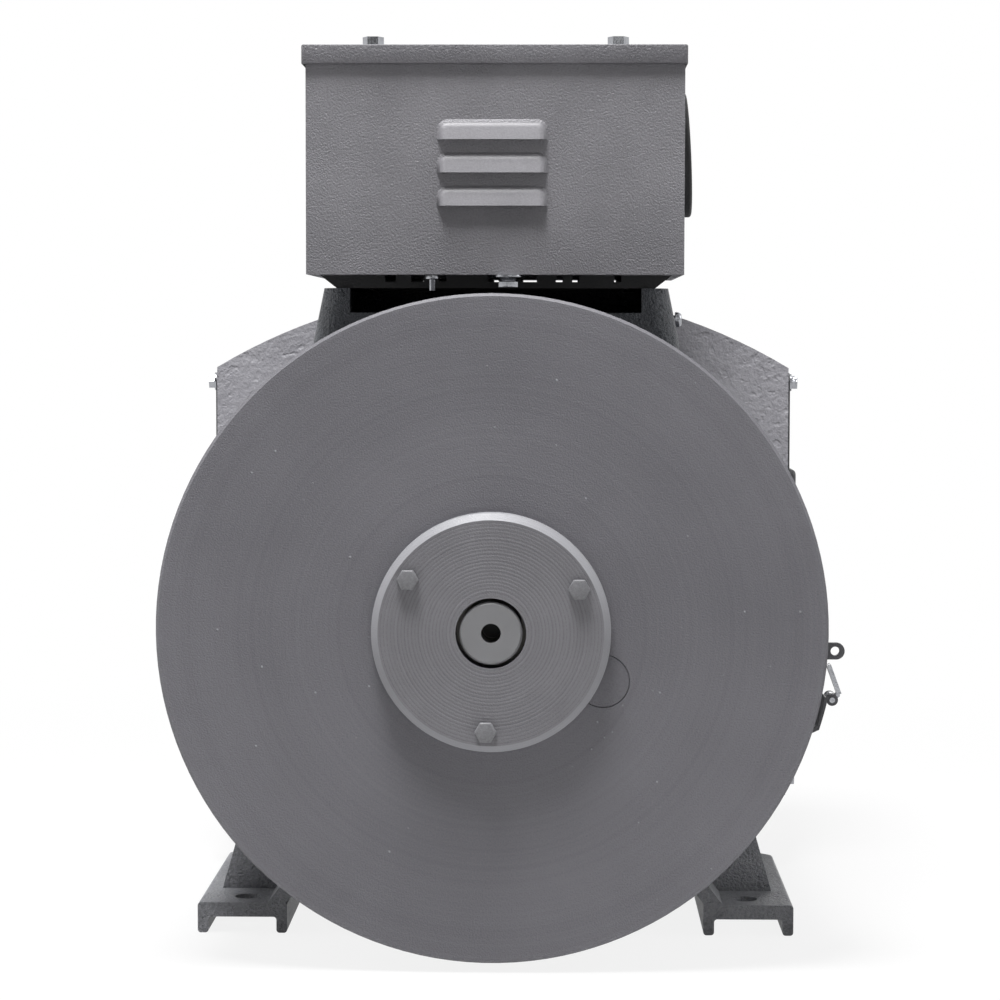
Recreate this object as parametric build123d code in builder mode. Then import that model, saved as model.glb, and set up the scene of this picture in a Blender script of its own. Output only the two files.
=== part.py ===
from build123d import *
import os
from math import cos, degrees, radians, sin, sqrt, tan

os.makedirs("parts", exist_ok=True)

# Foot-mounted generator alternator with two bearings, slip rings and a terminal box on top.
# X is to the right seen from the slip-ring end, Y runs along the shaft to the drive end, Z is up.
# The origin is on the mounting plane, in the middle of the four foot holes.

# ------------------------------------------------------------------ driving dimensions, mm
shaft_height = 180.0          # mounting plane to shaft axis

frame_radius = 165.0          # cast stator frame
frame_wall = 15.0
frame_rear = -82.0            # joint face with the slip-ring end cover
frame_length = 182.0
spigot_length = 6.0           # register of each end casting in the frame bore
spigot_wall = 7.0

foot_spacing = 280.0          # hole centres across
foot_hole_pitch = 120.0       # hole centres along
foot_hole_radius = 7.0
foot_spread = 332.0           # over the outer edges
foot_width = 50.0
foot_length = 155.0
foot_height = 17.0
foot_web = 8.0
foot_leg = 6.0
foot_round = 1.8
foot_corner = 10.0
arm_thickness = 8.0
arm_slope = 52.0              # degrees
arm_drop = 119.482            # shaft axis to its upper end
gusset_thickness = 11.0
gusset_inset = 45.0           # from each foot end
gusset_set_back = 9.0         # from the foot's outer edge
gusset_drop = 92.0            # shaft axis to where its edge meets the frame

pedestal_rise = 14.0          # top face above the barrel
pedestal_half_width = 95.0
pedestal_flare = 6.0          # extra half width at the flare
pedestal_flare_drop = 29.0
pedestal_front = -80.0
pedestal_length = 150.0
pedestal_wall = 9.0
pedestal_corner = 12.0
pedestal_window = 80.0        # half width of the opening in its front wall
wire_hole_radius = 22.0

end_cover_lip = 3.0           # slip-ring end cover barrel, proud of the frame
end_cover_rim = 7.0           # its plate, proud of the barrel
end_cover_depth = 88.0
end_cover_plate = 12.0
end_cover_wall = 12.0
end_cover_edge = 1.5
joint_ring_width = 14.0
window_margin = 8.0           # plate to window
window_arc = 58.0             # degrees, four windows
rib_thickness = 8.0
rib_width = 18.0
core_plug_radius = 13.6
core_plug_x = 58.0
core_plug_drop = 26.0
core_plug_depth = 5.0
core_plug_gap = 0.4

cap_radius = 62.0             # slip-ring end bearing cap
cap_thickness = 12.5
cap_bevel = 3.5
cap_bore_gap = 2.0            # round the shaft end
cap_screw_circle = 51.0
cap_screw_turn = 27.0         # degrees, first of three
hub_wall = 17.0               # round the bearing bore
inner_cap_thickness = 8.0
inner_cap_gap = 2.5

rear_bearing = (20.0, 45.0, 23.0)      # bore radius, outer radius, width
rear_ball_radius = 7.5
drive_bearing = (22.5, 50.0, 25.0)
drive_ball_radius = 8.5
ball_count = 8
ring_land = 4.4               # half the gap between the lands, as left for the cage
ball_play = 0.12
cage_half = 2.4
cage_rim = 1.3

shaft_end_radius = 16.25      # slip-ring end stub
shaft_centre_radius = 5.1
shaft_centre_depth = 25.0
drive_radius = 19.0
drive_length = 80.0
keyway_width = 10.0
keyway_depth = 5.0
keyway_length = 56.0
keyway_end = 4.0
keyway_turn = 22.5            # degrees off the top, as the rotor stands at rest
core_seat_radius = 30.0
hub_seat_radius = 24.0
fan_seat_radius = 28.0
shaft_edge = 1.0

core_length = 120.0           # rotor and stator stacks
air_gap = 1.5
stator_core_bore = 100.0
slot_count = 24
slot_width = 9.0
slot_depth = 24.0
winding_overhang = 16.0
winding_inner = 104.0
winding_clearance = 12.0      # to the frame bore
winding_round = 5.0
pole_count = 4
pole_width = 50.0
pole_shoe_arc = 64.0          # degrees
pole_shoe_thickness = 14.0
coil_build = 13.0
coil_overhang = 12.0

ring_hub_radius = 34.0        # slip-ring hub
ring_hub_length = 42.0
ring_hub_gap = 4.0            # to the field coils
slip_ring_radius = 40.0
slip_ring_width = 12.0
slip_ring_pitch = 20.0
brush_gap = 0.3
brush_width = 8.0
brush_length = 10.0
brush_height = 22.0
brush_play = 0.2
holder_wall = 5.0
holder_lift = 5.0             # slip ring to holder
holder_height = 30.0
holder_arm = 10.0
holder_foot = 34.0
holder_cap = 3.0
spring_radius = 3.2
spring_wall = 0.9

housing_half_width = 177.0    # drive-end fan housing
housing_corner_rise = 133.0   # above and below the shaft axis
housing_peak_rise = 182.0
housing_belly_drop = 174.0
housing_length = 125.0
housing_wall = 7.0
housing_plate = 8.0
neck_length = 10.0
outlet_margin = 20.0          # side outlet to the housing ends
outlet_half_height = 92.0
vent_inner = 84.0
vent_margin = 8.0             # to the frame bore
vent_arc = 62.0               # degrees, four vents
drive_cap_thickness = 8.0

fan_clearance = 12.0          # to the frame bore
fan_hub_radius = 46.0
fan_plate = 4.0
fan_blade_height = 34.0
fan_blade_thickness = 3.0
fan_blade_count = 12
fan_blade_root = 78.0
fan_blade_lean = 28.0         # degrees
fan_gap = 20.0                # behind the housing front plate

box_half_width = 102.3        # terminal box
box_front = -100.0
box_depth = 165.0
saddle_height = 7.0
box_height = 122.0
box_sheet = 2.0
box_return = 18.0
lid_sheet = 1.2
lid_skirt = 10.3
lid_play = 0.3
lid_shift = 0.8
louvre_width = 60.0
louvre_height = 11.0
louvre_pitch = 17.8
louvre_reach = 6.0
louvre_sheet = 1.4
louvre_corner = 1.0            # corner radius as a share of the reach
louvre_taper = 24.0            # degrees
louvre_x = -1.5
louvre_drop = 38.5            # upper edge of the top louvre below the box top
lid_screw_x = 66.5
lid_screw_inset = 13.0
saddle_top_half = 96.5
saddle_bottom_half = 87.5
saddle_wall = 14.0
port_y = -25.0                # cable entry on the right wall
port_rise = 69.0              # above the box floor
port_radius = 28.0
port_bore = 19.0
grommet_lip_radius = 35.0
grommet_lip_top = 3.6
grommet_lip_bottom = 7.2
grommet_flange = 4.0
grommet_round = 1.6

cover_sheet = 1.5             # side outlet covers
cover_screw_reach = 10.0      # into the housing
cover_inset = 6.0
cover_screw_inset = 7.0
cover_top_inset = 3.0         # below the housing corner
cover_louvres = 6
cover_louvre_pitch = 26.0
cover_louvre_margin = 4.0     # to the outlet's edge

band_sheet = 1.5              # window band
band_overlap = 5.0
band_end_top = -3.0           # degrees
band_end_bottom = -8.0

eye_out = 14.4                # toggle latch, from the barrel
eye_rise = -14.6
eye_radius = 2.4
lug_reach = 19.5
lug_height = 9.0
lug_thickness = 3.0
pivot_out = 12.4
pivot_rise = -40.0
pivot_pin_radius = 1.5
knuckle_radius = 3.15
lever_sheet = 2.2
lever_width = 9.0
knuckle_width = 5.0
latch_play = 0.15
pin_play = 0.05
base_sheet = 1.6
strap_start = -30.0           # degrees, foot of the latch base on the band
strap_foot_end = -21.0
strap_lift = -17.5

board = (120.0, 64.0, 9.0)    # terminal board, x y z
board_post = 12.0
board_y = -18.0
stud_radius = 3.0
stud_height = 30.0
stud_pitch = 26.0
stud_count = 4
regulator = (84.0, 26.0, 52.0)

fit = 0.02                    # pressed or located faces of one assembly
hole_clearance = 0.3          # screw in a through hole
plate_gap = 0.3               # faces that only lie near each other

# fasteners: thread radius, width across flats, head height
m5 = (2.5, 8.0, 3.6)
m6 = (3.0, 10.0, 4.2)
m8 = (4.0, 13.0, 5.3)
washer_thickness = 1.2
washer_margin = 1.6

# ------------------------------------------------------------------ derived stations and places
frame_bore = frame_radius - frame_wall
pedestal_top = shaft_height + frame_radius + pedestal_rise
gusset_rise = shaft_height - gusset_drop
end_cover_barrel = frame_radius + end_cover_lip
end_cover_radius = end_cover_barrel + end_cover_rim
vent_outer = frame_bore - vent_margin
fan_radius = frame_bore - fan_clearance
winding_outer = frame_bore - winding_clearance
housing_corner_top = shaft_height + housing_corner_rise
housing_corner_bottom = shaft_height - housing_corner_rise
housing_peak = shaft_height + housing_peak_rise
housing_belly = shaft_height - housing_belly_drop
cover_top = housing_corner_top - cover_top_inset
eye_x = end_cover_barrel + eye_out
lug_tip = end_cover_barrel + lug_reach
pivot_x = end_cover_barrel + pivot_out
frame_drive = frame_rear + frame_length
cover_face = frame_rear - end_cover_depth
cover_back = cover_face + end_cover_plate
cap_face = cover_face - cap_thickness
rear_bearing_start = cover_back - 1.0
rear_bearing_end = rear_bearing_start + rear_bearing[2]
hub_end = rear_bearing_end + 1.0
housing_front = frame_drive + neck_length
housing_back = housing_front + housing_length
drive_hub_start = housing_back - drive_bearing[2] - 2 * housing_plate
drive_bearing_end = housing_back - housing_plate
drive_bearing_start = drive_bearing_end - drive_bearing[2]
drive_end = housing_back + drive_cap_thickness + drive_length
core_rear = -core_length / 2
joint_circle = (frame_bore + frame_radius) / 2
coil_rear = core_rear - coil_overhang
ring_hub_end = coil_rear - ring_hub_gap
ring_hub_start = ring_hub_end - ring_hub_length
fan_start = housing_front + housing_plate + fan_gap
foot_edge = foot_spread / 2
box_bottom = pedestal_top + saddle_height
box_back = box_front + box_depth
box_top = box_bottom + box_height
louvre_top = box_top - louvre_drop
port_z = box_bottom + port_rise
box_mid_y = box_front + box_depth / 2
pedestal_mid_y = pedestal_front + pedestal_length / 2
to_drive = (Align.CENTER, Align.CENTER, Align.MAX)
to_rear = (Align.CENTER, Align.CENTER, Align.MIN)
shaft_axis = Axis((0, 0, shaft_height), (0, 1, 0))
axial = Plane((0, 0, shaft_height), x_dir=(0, 1, 0), z_dir=(1, 0, 0))
ring_stations = [ring_hub_start + ring_hub_length / 2 + side * slip_ring_pitch / 2 for side in (-1, 1)]


def across(station, x=0.0, rise=0.0):
    """Plane square to the shaft: local x is X, local y is up from the axis, the normal faces -Y."""
    return Plane((x, station, shaft_height + rise), x_dir=(1, 0, 0), z_dir=(0, -1, 0))


def facing_drive(station, x=0.0, rise=0.0):
    """Plane square to the shaft whose normal faces the drive end."""
    return Plane((x, station, shaft_height + rise), x_dir=(-1, 0, 0), z_dir=(0, 1, 0))


def on_circle(radius, angle):
    """A place on a circle round the shaft, as x and rise."""
    return radius * cos(radians(angle)), radius * sin(radians(angle))


def drum(start, end, radius, mode=Mode.ADD):
    """A cylinder on the shaft axis between two stations."""
    with Locations(across(start)):
        Cylinder(radius, end - start, align=to_drive, mode=mode)


def sector(start, end, inner, outer, middle, arc, mode=Mode.ADD):
    """A block between two radii and two angles round the shaft."""
    first = middle - arc / 2
    with BuildSketch(across(start)) as face:
        with BuildLine():
            low = CenterArc((0, 0), inner, first, arc)
            high = CenterArc((0, 0), outer, first, arc)
            Line(low @ 0, high @ 0)
            Line(low @ 1, high @ 1)
        make_face()
    extrude(face.sketch, amount=start - end, mode=mode)


def screw_hole(seat, radius, depth):
    """A plain hole along the normal of its seat."""
    with Locations(seat):
        Cylinder(radius, depth, align=to_drive, mode=Mode.SUBTRACT)


def hex_screw(seat, size, length, washer=False):
    """Hexagon screw with its head on the seat and its shank behind it."""
    radius, flats, head = size
    lift = washer_thickness if washer else 0.0
    with BuildSketch(seat.offset(lift)) as outline:
        RegularPolygon(flats / 2, 6, major_radius=False)
    extrude(outline.sketch, amount=head)
    with Locations(seat):
        Cylinder(radius, length, align=to_drive)
        if washer:
            Cylinder(flats / 2 + washer_margin, lift, align=to_rear)


def hex_nut(seat, size):
    """Hexagon nut lying on its seat."""
    radius, flats, head = size
    with BuildSketch(seat) as outline:
        RegularPolygon(flats / 2, 6, major_radius=False)
        Circle(radius + fit, mode=Mode.SUBTRACT)
    extrude(outline.sketch, amount=head)


def louvre_hood(width, height, reach, sheet):
    """Pressed hood of one louvre, with sloping ends and an open lower edge, on the XY plane."""
    corner = reach * louvre_corner
    with BuildPart() as hood:
        with BuildSketch():
            with Locations((0, -height / 2)):
                RectangleRounded(width, 2 * height, corner)
        extrude(amount=reach, taper=louvre_taper)
        fillet(hood.faces().sort_by(Axis.Z)[-1].edges(), reach * louvre_corner / 2)
        with BuildSketch():
            with Locations((0, -height / 2)):
                RectangleRounded(width - 2 * sheet, 2 * height - 2 * sheet, corner - sheet)
        extrude(amount=reach - sheet, taper=louvre_taper, mode=Mode.SUBTRACT)
        with Locations((0, -1.5 * height, 0)):
            Box(2 * width, 2 * height, 4 * reach, mode=Mode.SUBTRACT)
    return hood.part


def press_louvre(hood, wall, width, height, sheet):
    """Cuts the slot in a wall and sets the hood over it."""
    with Locations(wall):
        Box(width - 4 * sheet, height - 3 * sheet, 4 * sheet, mode=Mode.SUBTRACT)
        add(hood)


# ------------------------------------------------------------------ stator frame
gusset_edge = foot_edge - gusset_set_back
gusset_top = sqrt(frame_radius**2 - gusset_drop**2)
arm_foot_x = foot_spacing / 2 - foot_width / 4
arm_run = (shaft_height - arm_drop - foot_height) / tan(radians(arm_slope))
earth_drop = 17.0             # earth screw below the pedestal top
earth_out = pedestal_flare * (earth_drop + m5[1] / 2 + 0.5) / pedestal_flare_drop
earth_seat = Plane((pedestal_half_width + earth_out, pedestal_front + 26, pedestal_top - earth_drop),
                   x_dir=(0, 1, 0), z_dir=(1, 0, 0))

with BuildPart() as stator_frame:
    # hollow pedestal that carries the terminal box
    with BuildSketch(Plane.XZ.offset(-pedestal_front)) as pedestal_end:
        flare_half = pedestal_half_width + pedestal_flare
        with BuildLine():
            Polyline((-pedestal_half_width, pedestal_top), (pedestal_half_width, pedestal_top),
                     (flare_half, pedestal_top - pedestal_flare_drop), (flare_half, shaft_height + frame_radius / 2),
                     (-flare_half, shaft_height + frame_radius / 2),
                     (-flare_half, pedestal_top - pedestal_flare_drop), close=True)
        make_face()
    extrude(amount=-pedestal_length)
    upright = stator_frame.edges().filter_by(lambda e: abs(e.tangent_at(0.5).Z) > 0.5)
    fillet(upright, pedestal_corner)
    with BuildSketch(Plane.XY.offset(pedestal_top)):
        with Locations((0, pedestal_mid_y)):
            RectangleRounded(2 * (pedestal_half_width - pedestal_wall), pedestal_length - 2 * pedestal_wall,
                             pedestal_corner - pedestal_wall / 2)
    extrude(amount=-(pedestal_top - shaft_height), mode=Mode.SUBTRACT)
    with Locations((0, pedestal_front, pedestal_top)):
        Box(2 * pedestal_window, 2 * pedestal_wall + 2, 2 * (pedestal_top - shaft_height - frame_radius) - 1,
            mode=Mode.SUBTRACT)
    # barrel
    drum(frame_rear, frame_drive, frame_radius)
    # feet: channel section, inclined arm and two gussets each
    for side in (-1, 1):
        with BuildSketch(Plane.XZ.offset(-foot_length / 2)) as foot_section:
            with Locations((side * (foot_edge - foot_width / 2), foot_height / 2)):
                Rectangle(foot_width, foot_height)
            with Locations((side * (foot_edge - foot_width / 2), (foot_height - foot_web) / 2)):
                Rectangle(foot_width - 2 * foot_leg, foot_height - foot_web, mode=Mode.SUBTRACT)
            fillet(foot_section.vertices(), foot_round)
        extrude(amount=foot_length)
        rise = foot_height + arm_run * sin(radians(arm_slope)) / cos(radians(arm_slope))
        flat = arm_thickness / sin(radians(arm_slope))
        with BuildSketch(Plane.XZ.offset(-foot_length / 2)) as arm_section:
            with BuildLine():
                Polyline((side * arm_foot_x, foot_height - 1), (side * (arm_foot_x - arm_run), rise),
                         (side * (arm_foot_x - arm_run - flat), rise),
                         (side * (arm_foot_x - flat), foot_height - 1), close=True)
            make_face()
        extrude(amount=foot_length)
        for y in (-1, 1):
            middle = y * (foot_length / 2 - gusset_inset)
            with BuildSketch(Plane.XZ.offset(-middle - gusset_thickness / 2)) as gusset:
                with BuildLine():
                    Polyline((side * arm_foot_x, foot_height - 1), (side * gusset_edge, foot_height - 1),
                             (side * (gusset_edge - 8), foot_height + 27), (side * gusset_top, gusset_rise),
                             (side * (arm_foot_x - arm_run), rise), close=True)
                make_face()
            extrude(amount=gusset_thickness)
    drum(frame_rear - 1, frame_drive + 1, frame_bore, Mode.SUBTRACT)
    with Locations((0, pedestal_mid_y, shaft_height + frame_radius)):
        Cylinder(wire_hole_radius, 2 * (frame_radius - frame_bore) + 20, mode=Mode.SUBTRACT)
    with Locations(Plane.XY.offset(foot_height)):
        with GridLocations(foot_spacing, foot_hole_pitch, 2, 2):
            Cylinder(foot_hole_radius, foot_height, align=to_drive, mode=Mode.SUBTRACT)
    for angle in range(0, 360, 90):
        x, rise = on_circle(joint_circle, angle)
        screw_hole(across(frame_rear, x, rise), m8[0] + fit, 22)
        screw_hole(facing_drive(frame_drive, x, rise), m8[0] + fit, 22)
    screw_hole(earth_seat, m5[0] + fit, 14)
    # cut corners at the drive end
    with Locations((-foot_edge, foot_length / 2), (foot_edge, foot_length / 2)):
        Box(foot_corner * sqrt(2), foot_corner * sqrt(2), 4 * foot_height, rotation=(0, 0, 45),
            mode=Mode.SUBTRACT)
stator_frame.part.label = "stator_frame"
export_step(stator_frame.part, "parts/stator_frame.step")

with BuildPart() as earth_screw:
    with Locations(earth_seat):
        Cylinder(m5[0], 12, align=to_drive)
        Cylinder(m5[1] / 2 + 0.3, m5[2], align=to_rear)
    fillet(earth_screw.faces().sort_by(Axis.X)[-1].edges(), m5[2] / 2)
earth_screw.part.label = "earth_screw"
export_step(earth_screw.part, "parts/earth_screw.step")

# ------------------------------------------------------------------ slip-ring end cover
with BuildPart() as rear_end_cover:
    with BuildSketch(axial) as cover_profile:
        with BuildLine():
            Polyline((cover_face, rear_bearing[1]), (cover_face, end_cover_radius - end_cover_edge),
                     (cover_face + end_cover_edge, end_cover_radius), (cover_back, end_cover_radius),
                     (cover_back, end_cover_barrel), (frame_rear, end_cover_barrel), (frame_rear, frame_bore - fit),
                     (frame_rear + spigot_length, frame_bore - fit),
                     (frame_rear + spigot_length, frame_bore - spigot_wall),
                     (frame_rear - joint_ring_width, frame_bore - spigot_wall),
                     (frame_rear - joint_ring_width, end_cover_barrel - end_cover_wall),
                     (cover_back, end_cover_barrel - end_cover_wall),
                     (cover_back, rear_bearing[1] + hub_wall), (hub_end, rear_bearing[1] + hub_wall),
                     (hub_end, rear_bearing[1]), close=True)
        make_face()
    revolve(axis=shaft_axis)
    for angle in range(0, 360, 90):
        sector(cover_back + window_margin, frame_rear - joint_ring_width, end_cover_barrel - end_cover_wall - 2,
               end_cover_barrel + 2, angle, window_arc, Mode.SUBTRACT)
        x, rise = on_circle((rear_bearing[1] + end_cover_barrel) / 2, angle + 45)
        rib_seat = Plane((x, cover_back, shaft_height + rise), x_dir=(cos(radians(angle + 45)), 0,
                         sin(radians(angle + 45))), z_dir=(0, -1, 0))
        with BuildSketch(rib_seat) as rib:
            Rectangle(end_cover_barrel - rear_bearing[1] - hub_wall, rib_thickness)
        extrude(rib.sketch, amount=-rib_width)
        x, rise = on_circle(joint_circle, angle)
        screw_hole(across(frame_rear - joint_ring_width, x, rise), m8[0] + hole_clearance, joint_ring_width)
    with Locations(across(cover_face, core_plug_x, -core_plug_drop)):
        Cylinder(core_plug_radius + core_plug_gap, core_plug_depth, align=to_drive, mode=Mode.SUBTRACT)
    for turn in range(3):
        x, rise = on_circle(cap_screw_circle, cap_screw_turn + turn * 120)
        screw_hole(across(cover_face, x, rise), m6[0] + hole_clearance, hub_end - cover_face)
    holder_seat_rise = slip_ring_radius + holder_lift + holder_height
    holder_places = [(x, holder_seat_rise + holder_foot / 2 - 4) for x in (-11, 11)]
    for x, rise in holder_places:
        screw_hole(facing_drive(cover_back, x, rise), m5[0] + fit, end_cover_plate - 4)
rear_end_cover.part.label = "rear_end_cover"
export_step(rear_end_cover.part, "parts/rear_end_cover.step")

with BuildPart() as core_plug:
    with Locations(across(cover_face + 0.4, core_plug_x, -core_plug_drop)):
        Cylinder(core_plug_radius, core_plug_depth - 0.4, align=to_drive)
core_plug.part.label = "core_plug"
export_step(core_plug.part, "parts/core_plug.step")

with BuildPart() as rear_cover_screws:
    for angle in range(0, 360, 90):
        x, rise = on_circle(joint_circle, angle)
        hex_screw(across(frame_rear - joint_ring_width, x, rise), m8, joint_ring_width + 20)
rear_cover_screws.part.label = "rear_cover_screws"
export_step(rear_cover_screws.part, "parts/rear_cover_screws.step")

# sheet band that closes the four windows
band_inner = end_cover_barrel + fit
with BuildPart() as window_band:
    sector(cover_back + fit, frame_rear - band_overlap, band_inner, band_inner + band_sheet,
           (band_end_top + 360 + band_end_bottom) / 2, 360 + band_end_bottom - band_end_top)
window_band.part.label = "window_band"
export_step(window_band.part, "parts/window_band.step")

# toggle latch of the band
latch_station = cover_back + 30
band_outer = band_inner + band_sheet
with BuildPart() as latch_eye:
    with BuildSketch(across(latch_station - lug_thickness / 2)) as lug_outline:
        with BuildLine():
            foot_angle = degrees(-(-eye_rise - lug_height / 2) / band_outer)
            low_angle = degrees((eye_rise - lug_height / 2) / band_outer)
            foot = CenterArc((0, 0), band_outer + fit, low_angle, foot_angle - low_angle)
            upper = Line(foot @ 1, (lug_tip - lug_height / 2, eye_rise + lug_height / 2))
            lower = Line(foot @ 0, (lug_tip - lug_height / 2, eye_rise - lug_height / 2))
            ThreePointArc(upper @ 1, (lug_tip, eye_rise), lower @ 1)
        make_face()
        with Locations((eye_x, eye_rise)):
            Circle(eye_radius, mode=Mode.SUBTRACT)
    extrude(amount=-lug_thickness)
latch_eye.part.label = "latch_eye"
export_step(latch_eye.part, "parts/latch_eye.step")

pivot_radius = sqrt(pivot_x**2 + pivot_rise**2)
latch_half = knuckle_width * 1.5 + latch_play
with BuildPart() as latch_base:
    strap_radius = pivot_radius - knuckle_radius + base_sheet / 2
    with BuildSketch(across(latch_station - latch_half)) as strap:
        with BuildLine():
            inner_low = CenterArc((0, 0), band_outer + fit, strap_start, strap_foot_end - strap_start)
            inner_high = CenterArc((0, 0), strap_radius - base_sheet, strap_lift, 5.2)
            Line(inner_low @ 1, inner_high @ 0)
            outer_high = CenterArc((0, 0), strap_radius, strap_lift - 0.4, 5.6)
            Line(inner_high @ 1, outer_high @ 1)
            outer_low = CenterArc((0, 0), band_outer + fit + base_sheet, strap_start,
                                  strap_foot_end - strap_start - 0.4)
            Line(outer_high @ 0, outer_low @ 1)
            Line(outer_low @ 0, inner_low @ 0)
        make_face()
    extrude(amount=-2 * latch_half)
    for place in (-1, 1):
        start = latch_station + place * (knuckle_width + latch_play) - knuckle_width / 2
        with Locations(across(start, pivot_x, pivot_rise)):
            Cylinder(knuckle_radius, knuckle_width, align=to_drive)
    with Locations(across(latch_station - latch_half, pivot_x, pivot_rise)):
        Cylinder(pivot_pin_radius + fit, 2 * latch_half, align=to_drive, mode=Mode.SUBTRACT)
    with Locations(across(latch_station - knuckle_width / 2 - latch_play, pivot_x, pivot_rise)):
        Cylinder(knuckle_radius + plate_gap, knuckle_width + 2 * latch_play, align=to_drive, mode=Mode.SUBTRACT)
latch_base.part.label = "latch_base"
export_step(latch_base.part, "parts/latch_base.step")

with BuildPart() as latch_pin:
    with Locations(across(latch_station - latch_half - 1, pivot_x, pivot_rise)):
        Cylinder(pivot_pin_radius, 2 * latch_half + 2, align=to_drive)
latch_pin.part.label = "latch_pin"
export_step(latch_pin.part, "parts/latch_pin.step")

lever_bend = (pivot_x + 5.3, pivot_rise + 3.0)
lever_tip = (pivot_x - 0.4, pivot_rise + 18.5)
with BuildPart() as latch_lever:
    with Locations(across(latch_station - knuckle_width / 2, pivot_x, pivot_rise)):
        Cylinder(knuckle_radius, knuckle_width, align=to_drive)
    with BuildSketch(across(latch_station - knuckle_width / 2)) as lever_root:
        with BuildLine():
            Polyline((pivot_x, pivot_rise - knuckle_radius + 0.2), (lever_bend[0] - 0.6, lever_bend[1] - 1.6),
                     (lever_bend[0] - 0.9, lever_bend[1] + 1.2), (pivot_x, pivot_rise + 0.6), close=True)
        make_face()
    extrude(amount=-knuckle_width)
    with BuildSketch(across(latch_station - lever_width / 2)) as lever_strip:
        with BuildLine():
            Polyline(lever_bend, lever_tip, (lever_tip[0] - lever_sheet, lever_tip[1] - 0.6),
                     (lever_bend[0] - lever_sheet, lever_bend[1] - 0.6), close=True)
        make_face()
    extrude(amount=-lever_width)
    with Locations(across(latch_station - knuckle_width, pivot_x, pivot_rise)):
        Cylinder(pivot_pin_radius + pin_play, 2 * knuckle_width, align=to_drive, mode=Mode.SUBTRACT)
latch_lever.part.label = "latch_lever"
export_step(latch_lever.part, "parts/latch_lever.step")

# ------------------------------------------------------------------ slip-ring end bearing and its caps
with BuildPart() as bearing_cap:
    with BuildSketch(axial) as cap_profile:
        bore = shaft_end_radius + cap_bore_gap
        lip = rear_bearing[1] - ring_land - 2.6
        with BuildLine():
            Polyline((cap_face, bore), (cap_face, cap_radius - cap_bevel), (cap_face + cap_bevel, cap_radius),
                     (cover_face, cap_radius), (cover_face, rear_bearing[1] - fit),
                     (rear_bearing_start, rear_bearing[1] - fit), (rear_bearing_start, lip),
                     (cover_face, lip), (cover_face, bore), close=True)
        make_face()
    revolve(axis=shaft_axis)
    for turn in range(3):
        x, rise = on_circle(cap_screw_circle, cap_screw_turn + turn * 120)
        screw_hole(across(cap_face, x, rise), m6[0] + hole_clearance, cap_thickness)
bearing_cap.part.label = "bearing_cap"
export_step(bearing_cap.part, "parts/bearing_cap.step")

with BuildPart() as rear_inner_cap:
    with BuildSketch(axial) as inner_cap_profile:
        bore = hub_seat_radius + inner_cap_gap
        with BuildLine():
            Polyline((rear_bearing_end, lip), (rear_bearing_end, rear_bearing[1] - fit),
                     (hub_end, rear_bearing[1] - fit), (hub_end, cap_radius - cap_bevel / 2),
                     (hub_end + inner_cap_thickness, cap_radius - cap_bevel),
                     (hub_end + inner_cap_thickness, bore), (hub_end, bore), (hub_end, lip), close=True)
        make_face()
    revolve(axis=shaft_axis)
    for turn in range(3):
        x, rise = on_circle(cap_screw_circle, cap_screw_turn + turn * 120)
        screw_hole(across(hub_end, x, rise), m6[0] + fit, inner_cap_thickness)
rear_inner_cap.part.label = "rear_inner_cap"
export_step(rear_inner_cap.part, "parts/rear_inner_cap.step")

with BuildPart() as bearing_cap_screws:
    for turn in range(3):
        x, rise = on_circle(cap_screw_circle, cap_screw_turn + turn * 120)
        hex_screw(across(cap_face, x, rise), m6, hub_end + inner_cap_thickness - cap_face)
bearing_cap_screws.part.label = "bearing_cap_screws"
export_step(bearing_cap_screws.part, "parts/bearing_cap_screws.step")


def race_ring(start, width, seat, land, pitch, ball):
    """Half of a ball race: a ring between its seat and its land, with the ball groove turned in."""
    low, high = sorted((seat, land))
    drum(start, start + width, high)
    drum(start - 1, start + width + 1, low, Mode.SUBTRACT)
    with BuildSketch(axial) as groove:
        with Locations((start + width / 2, pitch)):
            Circle(ball + ball_play)
    revolve(groove.sketch, axis=shaft_axis, mode=Mode.SUBTRACT)


bearings = (("rear", rear_bearing, rear_bearing_start, rear_ball_radius),
            ("drive", drive_bearing, drive_bearing_start, drive_ball_radius))
for end_name, (bore_radius, outer_radius, width), start, ball_radius in bearings:
    pitch_radius = (bore_radius + outer_radius) / 2
    middle = start + width / 2
    with BuildPart() as outer_ring:
        race_ring(start, width, outer_radius - fit, pitch_radius + ring_land, pitch_radius, ball_radius)
    outer_ring.part.label = end_name + "_bearing_outer_ring"
    export_step(outer_ring.part, "parts/" + end_name + "_bearing_outer_ring.step")

    with BuildPart() as inner_ring:
        race_ring(start, width, bore_radius + fit, pitch_radius - ring_land, pitch_radius, ball_radius)
    inner_ring.part.label = end_name + "_bearing_inner_ring"
    export_step(inner_ring.part, "parts/" + end_name + "_bearing_inner_ring.step")

    with BuildPart() as cage:
        drum(middle - ball_radius - cage_rim, middle + ball_radius + cage_rim, pitch_radius + cage_half)
        drum(middle - width, middle + width, pitch_radius - cage_half, Mode.SUBTRACT)
        for ball in range(ball_count):
            x, rise = on_circle(pitch_radius, ball * 360 / ball_count)
            radial = Plane((x, middle, shaft_height + rise), x_dir=(0, 1, 0), z_dir=(x, 0, rise))
            with Locations(radial):
                Cylinder(ball_radius + ball_play, 4 * cage_half, mode=Mode.SUBTRACT)
    cage.part.label = end_name + "_bearing_cage"
    export_step(cage.part, "parts/" + end_name + "_bearing_cage.step")

    with BuildPart() as balls:
        for ball in range(ball_count):
            x, rise = on_circle(pitch_radius, ball * 360 / ball_count)
            with Locations((x, middle, shaft_height + rise)):
                Sphere(ball_radius)
    balls.part.label = end_name + "_bearing_balls"
    export_step(balls.part, "parts/" + end_name + "_bearing_balls.step")

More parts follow.
